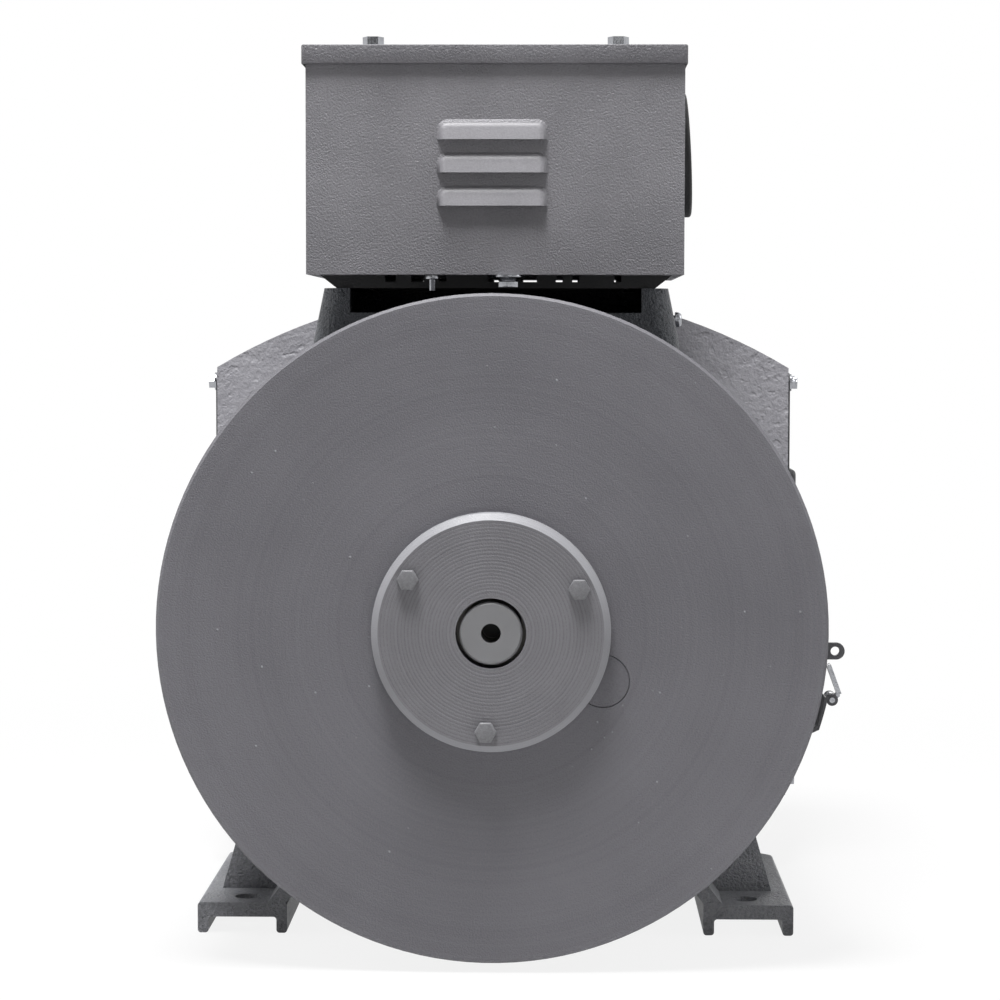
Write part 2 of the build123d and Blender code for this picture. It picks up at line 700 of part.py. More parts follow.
# ------------------------------------------------------------------ rotor
with BuildPart() as shaft:
    seats = [(cap_face + 0.5, shaft_end_radius), (rear_bearing_start - 1, rear_bearing[0]),
             (rear_bearing_end, hub_seat_radius), (ring_hub_end, core_seat_radius),
             (-core_rear, fan_seat_radius), (drive_bearing_start, drive_bearing[0]),
             (housing_back + 1, drive_radius)]
    ends = [station for station, radius in seats[1:]] + [drive_end]
    for (start, radius), end in zip(seats, ends):
        drum(start, end, radius)
    tips = shaft.faces().filter_by(Axis.Y).sort_by(Axis.Y)
    chamfer(tips[0].edges() + tips[-1].edges(), shaft_edge)
    with Locations(across(cap_face + 0.5)):
        Cylinder(shaft_centre_radius, shaft_centre_depth, align=to_drive, mode=Mode.SUBTRACT)
    key_x, key_rise = drive_radius * sin(radians(keyway_turn)), drive_radius * cos(radians(keyway_turn))
    with BuildSketch(Plane((key_x, 0, shaft_height + key_rise), x_dir=(0, 1, 0), z_dir=(key_x, 0, key_rise))):
        with Locations((drive_end - keyway_length / 2 - keyway_end, 0)):
            SlotOverall(keyway_length, keyway_width)
    extrude(amount=-keyway_depth, mode=Mode.SUBTRACT)
shaft.part.label = "shaft"
export_step(shaft.part, "parts/shaft.step")

rotor_radius = stator_core_bore - air_gap
with BuildPart() as rotor_core:
    with BuildSketch(across(core_rear)) as pole_section:
        Circle(core_seat_radius + 20)
        for pole in range(pole_count):
            turn = pole * 360 / pole_count
            with PolarLocations(rotor_radius / 2, 1, start_angle=turn):
                Rectangle(rotor_radius - pole_shoe_thickness / 2, pole_width)
            with BuildLine():
                inner_arc = CenterArc((0, 0), rotor_radius - pole_shoe_thickness, turn - pole_shoe_arc / 2,
                                      pole_shoe_arc)
                outer_arc = CenterArc((0, 0), rotor_radius, turn - pole_shoe_arc / 2, pole_shoe_arc)
                Line(inner_arc @ 0, outer_arc @ 0)
                Line(inner_arc @ 1, outer_arc @ 1)
            make_face()
        Circle(core_seat_radius + fit, mode=Mode.SUBTRACT)
    extrude(amount=-core_length)
rotor_core.part.label = "rotor_core"
export_step(rotor_core.part, "parts/rotor_core.step")

coil_low = core_seat_radius + 21
coil_high = sqrt((rotor_radius - pole_shoe_thickness) ** 2 - (pole_width / 2 + coil_build) ** 2) - 1
with BuildPart() as field_coils:
    for pole in range(pole_count):
        turn = radians(pole * 360 / pole_count)
        seat = Plane((coil_low * cos(turn), 0, shaft_height + coil_low * sin(turn)),
                     x_dir=(0, 1, 0), z_dir=(cos(turn), 0, sin(turn)))
        with BuildSketch(seat) as coil:
            RectangleRounded(core_length + 2 * coil_overhang, pole_width + 2 * coil_build, coil_overhang - 2)
            Rectangle(core_length + 2 * fit, pole_width + 2 * fit, mode=Mode.SUBTRACT)
        extrude(coil.sketch, amount=coil_high - coil_low)
field_coils.part.label = "field_coils"
export_step(field_coils.part, "parts/field_coils.step")

with BuildPart() as slip_ring_hub:
    drum(ring_hub_start, ring_hub_end, ring_hub_radius)
    drum(ring_hub_start - 1, ring_hub_end + 1, hub_seat_radius + fit, Mode.SUBTRACT)
slip_ring_hub.part.label = "slip_ring_hub"
export_step(slip_ring_hub.part, "parts/slip_ring_hub.step")

with BuildPart() as slip_rings:
    for station in ring_stations:
        drum(station - slip_ring_width / 2, station + slip_ring_width / 2, slip_ring_radius)
    drum(ring_hub_start - 1, ring_hub_end + 1, ring_hub_radius + fit, Mode.SUBTRACT)
slip_rings.part.label = "slip_rings"
export_step(slip_rings.part, "parts/slip_rings.step")

with BuildPart() as cooling_fan:
    fan_end = fan_start + fan_blade_height + fan_plate
    drum(fan_start, fan_end, fan_hub_radius)
    drum(fan_end - fan_plate, fan_end, fan_radius)
    for blade in range(fan_blade_count):
        angle = blade * 360 / fan_blade_count
        x, rise = on_circle((fan_radius + fan_blade_root) / 2, angle)
        lean = radians(angle + fan_blade_lean)
        with BuildSketch(Plane((x, fan_start, shaft_height + rise), x_dir=(cos(lean), 0, sin(lean)),
                               z_dir=(0, -1, 0))) as blade_section:
            Rectangle(fan_radius - fan_blade_root - 4, fan_blade_thickness)
        extrude(blade_section.sketch, amount=-fan_blade_height)
    drum(fan_start - 1, fan_end + 1, fan_seat_radius + fit, Mode.SUBTRACT)
cooling_fan.part.label = "cooling_fan"
export_step(cooling_fan.part, "parts/cooling_fan.step")

# ------------------------------------------------------------------ stator core and winding
with BuildPart() as stator_core:
    with BuildSketch(across(core_rear)) as lamination:
        Circle(frame_bore - fit)
        Circle(stator_core_bore, mode=Mode.SUBTRACT)
        with PolarLocations(stator_core_bore + slot_depth / 2 - 2, slot_count):
            Rectangle(slot_depth, slot_width, mode=Mode.SUBTRACT)
    extrude(amount=-core_length)
stator_core.part.label = "stator_core"
export_step(stator_core.part, "parts/stator_core.step")

with BuildPart() as stator_winding:
    for start in (core_rear - winding_overhang, -core_rear):
        drum(start, start + winding_overhang, winding_outer)
        drum(start - 1, start + winding_overhang + 1, winding_inner, Mode.SUBTRACT)
    fillet(stator_winding.edges().group_by(Axis.Y)[0] + stator_winding.edges().group_by(Axis.Y)[-1], winding_round)
stator_winding.part.label = "stator_winding"
export_step(stator_winding.part, "parts/stator_winding.step")

# ------------------------------------------------------------------ brush gear
holder_low = slip_ring_radius + holder_lift
holder_top = holder_low + holder_height
holder_half_x = brush_width / 2 + brush_play + holder_wall
holder_start = ring_stations[0] - brush_length / 2 - brush_play - holder_wall
holder_end = ring_stations[1] + brush_length / 2 + brush_play + holder_wall
with BuildPart() as brush_holder:
    with Locations((0, (holder_start + holder_end) / 2, shaft_height + (holder_low + holder_top) / 2)):
        Box(2 * holder_half_x, holder_end - holder_start, holder_height)
    with Locations((0, (cover_back + holder_start) / 2, shaft_height + holder_top - holder_arm / 2)):
        Box(2 * holder_half_x, holder_start - cover_back, holder_arm)
    with Locations((0, cover_back + 4, shaft_height + holder_seat_rise + holder_foot / 2 - 10)):
        Box(38, 8, holder_foot)
    for station in ring_stations:
        with Locations((0, station, shaft_height + (holder_low + holder_top) / 2)):
            Box(brush_width + 2 * brush_play, brush_length + 2 * brush_play, holder_height, mode=Mode.SUBTRACT)
    for x, rise in holder_places:
        screw_hole(facing_drive(cover_back + 8, x, rise), m5[0] + hole_clearance, 8)
brush_holder.part.label = "brush_holder"
export_step(brush_holder.part, "parts/brush_holder.step")

with BuildPart() as brush_holder_screws:
    for x, rise in holder_places:
        hex_screw(facing_drive(cover_back + 8, x, rise), m5, 8 + end_cover_plate - 5)
brush_holder_screws.part.label = "brush_holder_screws"
export_step(brush_holder_screws.part, "parts/brush_holder_screws.step")

with BuildPart() as brush_holder_lid:
    with Locations((0, (holder_start + holder_end) / 2, shaft_height + holder_top + fit)):
        Box(2 * holder_half_x, holder_end - holder_start, holder_cap, align=(Align.CENTER, Align.CENTER, Align.MIN))
brush_holder_lid.part.label = "brush_holder_lid"
export_step(brush_holder_lid.part, "parts/brush_holder_lid.step")

brush_top = slip_ring_radius + brush_gap + brush_height
for ring_name, station in zip(("rear", "front"), ring_stations):
    with BuildPart() as brush:
        with Locations((0, station, shaft_height + brush_top)):
            Box(brush_width, brush_length, brush_height + 1, align=(Align.CENTER, Align.CENTER, Align.MAX))
        drum(station - brush_length, station + brush_length, slip_ring_radius + brush_gap, Mode.SUBTRACT)
    brush.part.label = ring_name + "_brush"
    export_step(brush.part, "parts/" + ring_name + "_brush.step")

    with BuildPart() as spring:
        with Locations((0, station, shaft_height + brush_top + fit)):
            Cylinder(spring_radius, holder_top - brush_top - fit, align=to_rear)
            Cylinder(spring_radius - spring_wall, holder_top - brush_top - fit, align=to_rear, mode=Mode.SUBTRACT)
    spring.part.label = ring_name + "_brush_spring"
    export_step(spring.part, "parts/" + ring_name + "_brush_spring.step")

# ------------------------------------------------------------------ drive-end housing
housing_mid = (housing_corner_top + housing_corner_bottom) / 2
outlet_y = (housing_front + housing_back) / 2
outlet_length = housing_length - 2 * outlet_margin
cover_screw_ys = (housing_front + cover_inset + cover_screw_inset, housing_back - cover_inset - cover_screw_inset)
cover_screw_zs = (2 * housing_mid - cover_top + cover_screw_inset - 1, cover_top - cover_screw_inset + 1)


def housing_section(station, inset=0.0):
    """Flat sides joined by a bowed top and a bowed belly, pulled in by an inset."""
    half = housing_half_width - inset
    high = housing_corner_top - inset
    low = housing_corner_bottom + inset
    with BuildSketch(Plane.XZ.offset(-station)) as section:
        with BuildLine():
            ThreePointArc((-half, high), (0, housing_peak - inset), (half, high))
            Line((half, high), (half, low))
            ThreePointArc((half, low), (0, housing_belly + inset), (-half, low))
            Line((-half, low), (-half, high))
        make_face()
    return section.sketch


with BuildPart() as drive_end_housing:
    extrude(housing_section(housing_front), amount=-housing_length)
    extrude(housing_section(housing_front + housing_plate, housing_wall),
            amount=-(housing_length - 2 * housing_plate), mode=Mode.SUBTRACT)
    drum(frame_drive, housing_front, frame_radius)
    drum(frame_drive - spigot_length, frame_drive, frame_bore - fit)
    drum(frame_drive - spigot_length - 1, housing_front + housing_plate, frame_bore - spigot_wall, Mode.SUBTRACT)
    drum(drive_hub_start, housing_back, drive_bearing[1] + hub_wall)
    for vent in range(4):
        sector(housing_back - housing_plate - 1, housing_back + 1, vent_inner, vent_outer, 45 + 90 * vent, vent_arc,
               Mode.SUBTRACT)
        rib_turn = radians(90 * vent)
        x, rise = on_circle((drive_bearing[1] + hub_wall + vent_outer) / 2, 90 * vent)
        with BuildSketch(Plane((x, housing_back - housing_plate, shaft_height + rise),
                               x_dir=(cos(rib_turn), 0, sin(rib_turn)), z_dir=(0, -1, 0))) as drive_rib:
            Rectangle(vent_outer - drive_bearing[1] - hub_wall + 2, rib_thickness)
        extrude(drive_rib.sketch, amount=rib_width)
    drum(drive_hub_start - 1, housing_back + 1, drive_bearing[1], Mode.SUBTRACT)
    with Locations((0, outlet_y, housing_mid)):
        Box(2 * housing_half_width + 2, outlet_length, 2 * outlet_half_height, mode=Mode.SUBTRACT)
    for angle in range(0, 360, 90):
        x, rise = on_circle(joint_circle, angle)
        screw_hole(facing_drive(housing_front + housing_plate, x, rise), m8[0] + hole_clearance,
                   neck_length + housing_plate)
    for turn in range(3):
        x, rise = on_circle(drive_bearing[1] + hub_wall / 2, 90 + turn * 120)
        screw_hole(facing_drive(housing_back, x, rise), m6[0] + hole_clearance, housing_back - drive_hub_start)
    for side in (-1, 1):
        for y in cover_screw_ys:
            for z in cover_screw_zs:
                seat = Plane((side * housing_half_width, y, z), x_dir=(0, 1, 0), z_dir=(side, 0, 0))
                screw_hole(seat, m5[0] + fit, cover_screw_reach)
drive_end_housing.part.label = "drive_end_housing"
export_step(drive_end_housing.part, "parts/drive_end_housing.step")

with BuildPart() as drive_housing_screws:
    for angle in range(0, 360, 90):
        x, rise = on_circle(joint_circle, angle)
        hex_screw(facing_drive(housing_front + housing_plate, x, rise), m8, neck_length + housing_plate + 20)
drive_housing_screws.part.label = "drive_housing_screws"
export_step(drive_housing_screws.part, "parts/drive_housing_screws.step")

drive_cap_radius = drive_bearing[1] + hub_wall
with BuildPart() as drive_bearing_cap:
    with BuildSketch(axial) as drive_cap_profile:
        bore = drive_radius + cap_bore_gap
        lip = drive_bearing[1] - ring_land - 4
        with BuildLine():
            Polyline((drive_bearing_end, lip), (drive_bearing_end, drive_bearing[1] - fit),
                     (housing_back, drive_bearing[1] - fit), (housing_back, drive_cap_radius),
                     (housing_back + drive_cap_thickness - cap_bevel, drive_cap_radius),
                     (housing_back + drive_cap_thickness, drive_cap_radius - cap_bevel),
                     (housing_back + drive_cap_thickness, bore), (housing_back + 2, bore),
                     (housing_back + 2, lip), close=True)
        make_face()
    revolve(axis=shaft_axis)
    for turn in range(3):
        x, rise = on_circle(drive_bearing[1] + hub_wall / 2, 90 + turn * 120)
        screw_hole(facing_drive(housing_back + drive_cap_thickness, x, rise), m6[0] + hole_clearance,
                   drive_cap_thickness)
drive_bearing_cap.part.label = "drive_bearing_cap"
export_step(drive_bearing_cap.part, "parts/drive_bearing_cap.step")

with BuildPart() as drive_inner_cap:
    with BuildSketch(axial) as drive_inner_profile:
        bore = fan_seat_radius + inner_cap_gap
        with BuildLine():
            Polyline((drive_bearing_start, lip), (drive_bearing_start, drive_bearing[1] - fit),
                     (drive_hub_start, drive_bearing[1] - fit), (drive_hub_start, drive_cap_radius - cap_bevel),
                     (drive_hub_start - inner_cap_thickness, drive_cap_radius - 2 * cap_bevel),
                     (drive_hub_start - inner_cap_thickness, bore), (drive_hub_start, bore),
                     (drive_hub_start, lip), close=True)
        make_face()
    revolve(axis=shaft_axis)
    for turn in range(3):
        x, rise = on_circle(drive_bearing[1] + hub_wall / 2, 90 + turn * 120)
        screw_hole(facing_drive(drive_hub_start, x, rise), m6[0] + fit, inner_cap_thickness)
drive_inner_cap.part.label = "drive_inner_cap"
export_step(drive_inner_cap.part, "parts/drive_inner_cap.step")

with BuildPart() as drive_cap_screws:
    for turn in range(3):
        x, rise = on_circle(drive_bearing[1] + hub_wall / 2, 90 + turn * 120)
        hex_screw(facing_drive(housing_back + drive_cap_thickness, x, rise), m6,
                  housing_back + drive_cap_thickness - drive_hub_start + inner_cap_thickness)
drive_cap_screws.part.label = "drive_cap_screws"
export_step(drive_cap_screws.part, "parts/drive_cap_screws.step")

cover_length = housing_length - 2 * cover_inset
cover_half_height = cover_top - housing_mid
cover_louvre_width = outlet_length - 2 * cover_louvre_margin
cover_hood = louvre_hood(cover_louvre_width, louvre_height, louvre_reach, louvre_sheet)
for side_name, side in (("left", -1), ("right", 1)):
    wall = Plane((side * (housing_half_width + cover_sheet), outlet_y, housing_mid), x_dir=(0, side, 0),
                 z_dir=(side, 0, 0))
    with BuildPart() as side_cover:
        with BuildSketch(wall.offset(-cover_sheet)) as sheet_outline:
            RectangleRounded(cover_length, 2 * cover_half_height, cover_screw_inset)
        extrude(amount=cover_sheet)
        for row in range(cover_louvres):
            drop = (row - (cover_louvres - 1) / 2) * cover_louvre_pitch
            press_louvre(cover_hood, Plane(wall.origin + Vector(0, 0, drop), x_dir=wall.x_dir,
                         z_dir=wall.z_dir), cover_louvre_width, louvre_height, louvre_sheet)
        for y in cover_screw_ys:
            for z in cover_screw_zs:
                screw_hole(Plane((side * (housing_half_width + cover_sheet), y, z), x_dir=(0, 1, 0),
                                 z_dir=(side, 0, 0)), m5[0] + hole_clearance, cover_sheet)
    side_cover.part.label = side_name + "_outlet_cover"
    export_step(side_cover.part, "parts/" + side_name + "_outlet_cover.step")

with BuildPart() as outlet_cover_screws:
    for side in (-1, 1):
        for y in cover_screw_ys:
            for z in cover_screw_zs:
                seat = Plane((side * (housing_half_width + cover_sheet), y, z), x_dir=(0, 1, 0),
                             z_dir=(side, 0, 0))
                hex_screw(seat, m5, cover_sheet + cover_screw_reach - 1, washer=True)
outlet_cover_screws.part.label = "outlet_cover_screws"
export_step(outlet_cover_screws.part, "parts/outlet_cover_screws.step")

# ------------------------------------------------------------------ terminal box
with BuildPart() as box_saddle:
    saddle_length = pedestal_length - 4
    with BuildSketch(Plane.XZ.offset(-pedestal_front - 2)) as saddle_end:
        with BuildLine():
            Polyline((-saddle_bottom_half, pedestal_top), (saddle_bottom_half, pedestal_top),
                     (saddle_top_half, box_bottom), (-saddle_top_half, box_bottom), close=True)
        make_face()
    extrude(amount=-saddle_length)
    with Locations((0, pedestal_mid_y, (pedestal_top + box_bottom) / 2)):
        Box(2 * (saddle_bottom_half - saddle_wall), saddle_length - 2 * saddle_wall, 2 * saddle_height,
            mode=Mode.SUBTRACT)
    for x, width in ((-58, 6), (-43, 7), (-29, 4), (-1, 6), (18, 9), (35, 4), (44, 4), (67, 4)):
        with Locations((x, pedestal_mid_y, box_bottom - 1.8)):
            Box(width, saddle_length + 2, 3.6, mode=Mode.SUBTRACT)
box_saddle.part.label = "box_saddle"
export_step(box_saddle.part, "parts/box_saddle.step")

box_screw_places = [(x, y) for x in (-66, 66) for y in (pedestal_front + 8, pedestal_front + pedestal_length - 8)]
box_hood = louvre_hood(louvre_width, louvre_height, louvre_reach, louvre_sheet)
with BuildPart() as terminal_box:
    with Locations((0, box_mid_y, box_bottom)):
        Box(2 * box_half_width, box_depth, box_height, align=(Align.CENTER, Align.CENTER, Align.MIN))
        with Locations((0, 0, box_sheet)):
            Box(2 * (box_half_width - box_sheet), box_depth - 2 * box_sheet, box_height - 2 * box_sheet,
                align=(Align.CENTER, Align.CENTER, Align.MIN), mode=Mode.SUBTRACT)
        Box(2 * (box_half_width - box_return), box_depth - 2 * box_return, 3 * box_height,
            mode=Mode.SUBTRACT)
    with Locations((0, box_mid_y, box_bottom)):
        Box(2 * box_half_width - box_sheet, box_depth - box_sheet, box_sheet,
            align=(Align.CENTER, Align.CENTER, Align.MIN))
    with Locations((0, pedestal_mid_y, box_bottom)):
        Box(110, 70, 4 * box_sheet, mode=Mode.SUBTRACT)
    for row in range(3):
        top = louvre_top - row * louvre_pitch
        press_louvre(box_hood, Plane((louvre_x, box_front, top - louvre_height / 2), x_dir=(1, 0, 0),
                     z_dir=(0, -1, 0)), louvre_width, louvre_height, louvre_sheet)
    with Locations(Plane((box_half_width, port_y, port_z), x_dir=(0, 1, 0), z_dir=(1, 0, 0))):
        Cylinder(port_radius, 6 * box_sheet, mode=Mode.SUBTRACT)
    for x in (-lid_screw_x, lid_screw_x):
        for y in (box_front + lid_screw_inset, box_back - lid_screw_inset):
            screw_hole(Plane.XY.offset(box_top).move(Location((x, y, 0))), m6[0] + fit, box_sheet)
terminal_box.part.label = "terminal_box"
export_step(terminal_box.part, "parts/terminal_box.step")

with BuildPart() as box_lid:
    lid_half_x = box_half_width + lid_play + lid_sheet
    lid_mid_x = -lid_shift / 2
    lid_half_x += lid_shift / 2
    lid_half_y = box_depth / 2 + lid_play + lid_sheet
    with Locations((lid_mid_x, box_mid_y, box_top + lid_sheet + fit)):
        Box(2 * lid_half_x, 2 * lid_half_y, lid_skirt, align=(Align.CENTER, Align.CENTER, Align.MAX))
    fillet(box_lid.edges().filter_by(Axis.Z), 2)
    with Locations((lid_mid_x, box_mid_y, box_top + fit)):
        Box(2 * (lid_half_x - lid_sheet), 2 * (lid_half_y - lid_sheet), lid_skirt,
            align=(Align.CENTER, Align.CENTER, Align.MAX), mode=Mode.SUBTRACT)
    for x in (-lid_screw_x, lid_screw_x):
        for y in (box_front + lid_screw_inset, box_back - lid_screw_inset):
            screw_hole(Plane.XY.offset(box_top + 2 * lid_sheet).move(Location((x, y, 0))), m6[0] + hole_clearance, 6)
box_lid.part.label = "terminal_box_lid"
export_step(box_lid.part, "parts/terminal_box_lid.step")

with BuildPart() as lid_screws:
    for x in (-lid_screw_x, lid_screw_x):
        for y in (box_front + lid_screw_inset, box_back - lid_screw_inset):
            seat = Plane.XY.offset(box_top + lid_sheet + fit).move(Location((x, y, 0)))
            hex_screw(seat, m6, 8, washer=True)
lid_screws.part.label = "lid_screws"
export_step(lid_screws.part, "parts/lid_screws.step")

wall_outside = Plane((box_half_width, port_y, port_z), x_dir=(0, 1, 0), z_dir=(1, 0, 0))
with BuildPart() as cable_grommet:
    with Locations(wall_outside):
        Cylinder(port_radius - fit, box_sheet + 1, align=to_drive)
        Cylinder(grommet_lip_radius, grommet_lip_bottom + 2, align=to_rear)
    with Locations(wall_outside.offset(-box_sheet)):
        Cylinder(port_radius + 3, grommet_flange, align=to_drive)
    tilt = degrees((grommet_lip_bottom - grommet_lip_top) / (2 * grommet_lip_radius))
    lip_plane = wall_outside.offset((grommet_lip_bottom + grommet_lip_top) / 2).rotated((0, tilt, 0))
    split(bisect_by=Plane(lip_plane.origin, z_dir=(cos(radians(tilt)), 0, sin(radians(tilt)))), keep=Keep.BOTTOM)
    with Locations(wall_outside):
        Cylinder(port_bore, 8 * grommet_lip_bottom, mode=Mode.SUBTRACT)
    rims = cable_grommet.faces().sort_by(Axis.X)[-1].edges()
    fillet(rims, grommet_round)
cable_grommet.part.label = "cable_grommet"
export_step(cable_grommet.part, "parts/cable_grommet.step")

# terminal board with its studs, and the excitation regulator, on the box floor
board_z = box_bottom + box_sheet + board_post
board_seats = [(x, y) for x in (-1, 1) for y in (-1, 1)]
with BuildPart() as terminal_board:
    with Locations((0, board_y, board_z)):
        Box(*board, align=(Align.CENTER, Align.CENTER, Align.MIN))
    for x, y in board_seats:
        with Locations((x * (board[0] / 2 - 6), board_y + y * (board[1] / 2 + 9), box_bottom + box_sheet + fit)):
            Box(12, 18, board_post + board[2], align=(Align.CENTER, Align.CENTER, Align.MIN))
    for stud in range(stud_count):
        x = (stud - (stud_count - 1) / 2) * stud_pitch
        with Locations((x, board_y, board_z)):
            Cylinder(stud_radius + fit, 3 * board[2], mode=Mode.SUBTRACT)
terminal_board.part.label = "terminal_board"
export_step(terminal_board.part, "parts/terminal_board.step")

with BuildPart() as terminal_studs:
    for stud in range(stud_count):
        x = (stud - (stud_count - 1) / 2) * stud_pitch
        with Locations((x, board_y, board_z)):
            Cylinder(stud_radius, stud_height, align=to_rear)
terminal_studs.part.label = "terminal_studs"
export_step(terminal_studs.part, "parts/terminal_studs.step")

with BuildPart() as terminal_nuts:
    for stud in range(stud_count):
        x = (stud - (stud_count - 1) / 2) * stud_pitch
        hex_nut(Plane.XY.offset(board_z + board[2] + fit).move(Location((x, board_y, 0))), m6)
terminal_nuts.part.label = "terminal_nuts"
export_step(terminal_nuts.part, "parts/terminal_nuts.step")

with BuildPart() as voltage_regulator:
    with Locations((0, box_back - box_sheet - fit - regulator[1] / 2, box_bottom + 50)):
        Box(*regulator)
    fillet(voltage_regulator.edges().filter_by(Axis.Y), 3)
    for fin in range(6):
        x = (fin - 2.5) * regulator[0] / 7
        with Locations((x, box_back - box_sheet - fit - regulator[1] - 4, box_bottom + 50)):
            Box(2.5, 8, regulator[2] - 10)
voltage_regulator.part.label = "voltage_regulator"
export_step(voltage_regulator.part, "parts/voltage_regulator.step")
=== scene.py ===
import math

import bpy
from mathutils import Euler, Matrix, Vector


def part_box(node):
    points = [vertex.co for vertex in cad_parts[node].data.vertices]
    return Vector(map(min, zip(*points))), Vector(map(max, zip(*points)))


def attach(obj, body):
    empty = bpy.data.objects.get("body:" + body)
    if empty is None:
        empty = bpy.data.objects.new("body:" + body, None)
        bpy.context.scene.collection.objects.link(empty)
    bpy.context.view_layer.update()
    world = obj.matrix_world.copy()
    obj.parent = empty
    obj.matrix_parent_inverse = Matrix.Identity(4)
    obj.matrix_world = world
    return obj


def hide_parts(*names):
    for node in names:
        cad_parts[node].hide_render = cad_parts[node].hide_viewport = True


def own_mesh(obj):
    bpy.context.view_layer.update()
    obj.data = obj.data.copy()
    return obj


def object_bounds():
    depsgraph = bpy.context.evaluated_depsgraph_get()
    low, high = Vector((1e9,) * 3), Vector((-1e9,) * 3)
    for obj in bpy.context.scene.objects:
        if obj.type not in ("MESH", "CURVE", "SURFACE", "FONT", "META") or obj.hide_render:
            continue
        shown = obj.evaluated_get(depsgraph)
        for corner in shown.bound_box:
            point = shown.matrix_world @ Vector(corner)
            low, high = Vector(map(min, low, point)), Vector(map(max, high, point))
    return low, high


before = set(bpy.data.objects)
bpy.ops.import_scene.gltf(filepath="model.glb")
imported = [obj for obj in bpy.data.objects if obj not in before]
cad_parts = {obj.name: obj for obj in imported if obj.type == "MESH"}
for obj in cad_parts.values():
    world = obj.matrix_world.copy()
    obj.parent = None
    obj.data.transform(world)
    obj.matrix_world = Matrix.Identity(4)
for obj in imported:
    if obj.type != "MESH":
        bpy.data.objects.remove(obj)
cad_low, cad_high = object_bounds()
bpy.ops.object.select_all(action="DESELECT")

# ---------------------------------------------------------------- stator frame
# One iron casting: barrel, two channel feet with gussets and a hollow pedestal for the box.
# It is sprayed with dark grey enamel over the sand-cast skin, so the grain shows through.


class Channel:
    """A socket in the recipe of a finish; arithmetic on it adds the Math node."""

    def __init__(self, recipe, socket):
        self.recipe = recipe
        self.socket = socket

    def maths(self, operation, *values):
        return self.recipe.maths(operation, *values)

    def __add__(self, other):
        return self.maths("ADD", self, other)

    def __radd__(self, other):
        return self.maths("ADD", other, self)

    def __sub__(self, other):
        return self.maths("SUBTRACT", self, other)

    def __rsub__(self, other):
        return self.maths("SUBTRACT", other, self)

    def __mul__(self, other):
        return self.maths("MULTIPLY", self, other)

    def __rmul__(self, other):
        return self.maths("MULTIPLY", other, self)


class Recipe:
    """A node tree. Every node in it comes from add."""

    def __init__(self, tree):
        self.tree = tree

    def add(self, kind, settings, inputs, output=0):
        node = self.tree.nodes.new(kind)
        for key, value in settings.items():
            setattr(node, key, value)
        for key, value in inputs.items():
            self.join(node.inputs[key], value)
        return Channel(self, node.outputs[output])

    def join(self, socket, value):
        if isinstance(value, Channel):
            self.tree.links.new(value.socket, socket)
        else:
            socket.default_value = value

    def maths(self, operation, *values):
        return self.add("ShaderNodeMath", {"operation": operation}, dict(enumerate(values)))


class Finish(Recipe):
    """The nodes of one finish. Its patterns lie in Object coordinates, in metres."""

    def __init__(self, name, **sockets):
        self.material = bpy.data.materials.new(name)
        self.material.use_nodes = True
        super().__init__(self.material.node_tree)
        self.shader = self.tree.nodes["Principled BSDF"]
        self.place = self.add("ShaderNodeTexCoord", {}, {}, "Object")
        self.set(**sockets)

    def set(self, **sockets):
        for name, value in sockets.items():
            self.join(self.shader.inputs[name.replace("_", " ").title()], value)

    def stretched(self, x, y, z):
        return self.add("ShaderNodeMapping", {}, {"Vector": self.place, "Scale": (x, y, z)})

    def noise(self, grain, detail=2.0, place=None):
        size = {"Vector": place or self.place, "Scale": 1 / grain, "Detail": detail}
        return self.add("ShaderNodeTexNoise", {}, size)

    def ramp(self, value, low, high, start=0.0, end=1.0):
        levels = {0: value, 1: low, 2: high, 3: start, 4: end}
        return self.add("ShaderNodeMapRange", {"interpolation_type": "SMOOTHSTEP"}, levels)

    def mix(self, share, first, second):
        return self.add("ShaderNodeMix", {"data_type": "RGBA"}, {0: share, 6: first, 7: second}, 2)

    def relief(self, height, depth):
        self.set(normal=self.add("ShaderNodeBump", {}, {"Height": height, "Distance": depth}))

    def place_on(self, axis):
        """Place along one axis; Y lies along the shaft."""
        return self.add("ShaderNodeSeparateXYZ", {}, {0: self.place}, axis)

    def shaft_radius(self, middle):
        """Distance from the shaft axis."""
        centred = self.add("ShaderNodeVectorMath", {"operation": "SUBTRACT"}, {0: self.place, 1: middle})
        flat = self.add("ShaderNodeVectorMath", {"operation": "MULTIPLY"}, {0: centred, 1: (1, 0, 1)})
        return self.add("ShaderNodeVectorMath", {"operation": "LENGTH"}, {0: flat}, "Value")

    def turning(self, radius, pitch, detail):
        """Uneven rings round the shaft axis, as a lathe leaves them."""
        size = {"W": radius, "Scale": 1 / pitch, "Detail": detail}
        return self.add("ShaderNodeTexNoise", {"noise_dimensions": "1D"}, size)


def tone(red, green, blue, alpha=1.0):
    """An 8-bit display colour as the linear one that a shader takes."""
    def linear(part):
        part = part / 255
        return part / 12.92 if part <= 0.04045 else ((part + 0.055) / 1.055) ** 2.4
    return linear(red), linear(green), linear(blue), alpha


def coat(finish, *nodes):
    """Puts a finish on parts that keep their own shape."""
    for node in nodes:
        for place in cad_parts[node].material_slots:
            place.material = finish.material


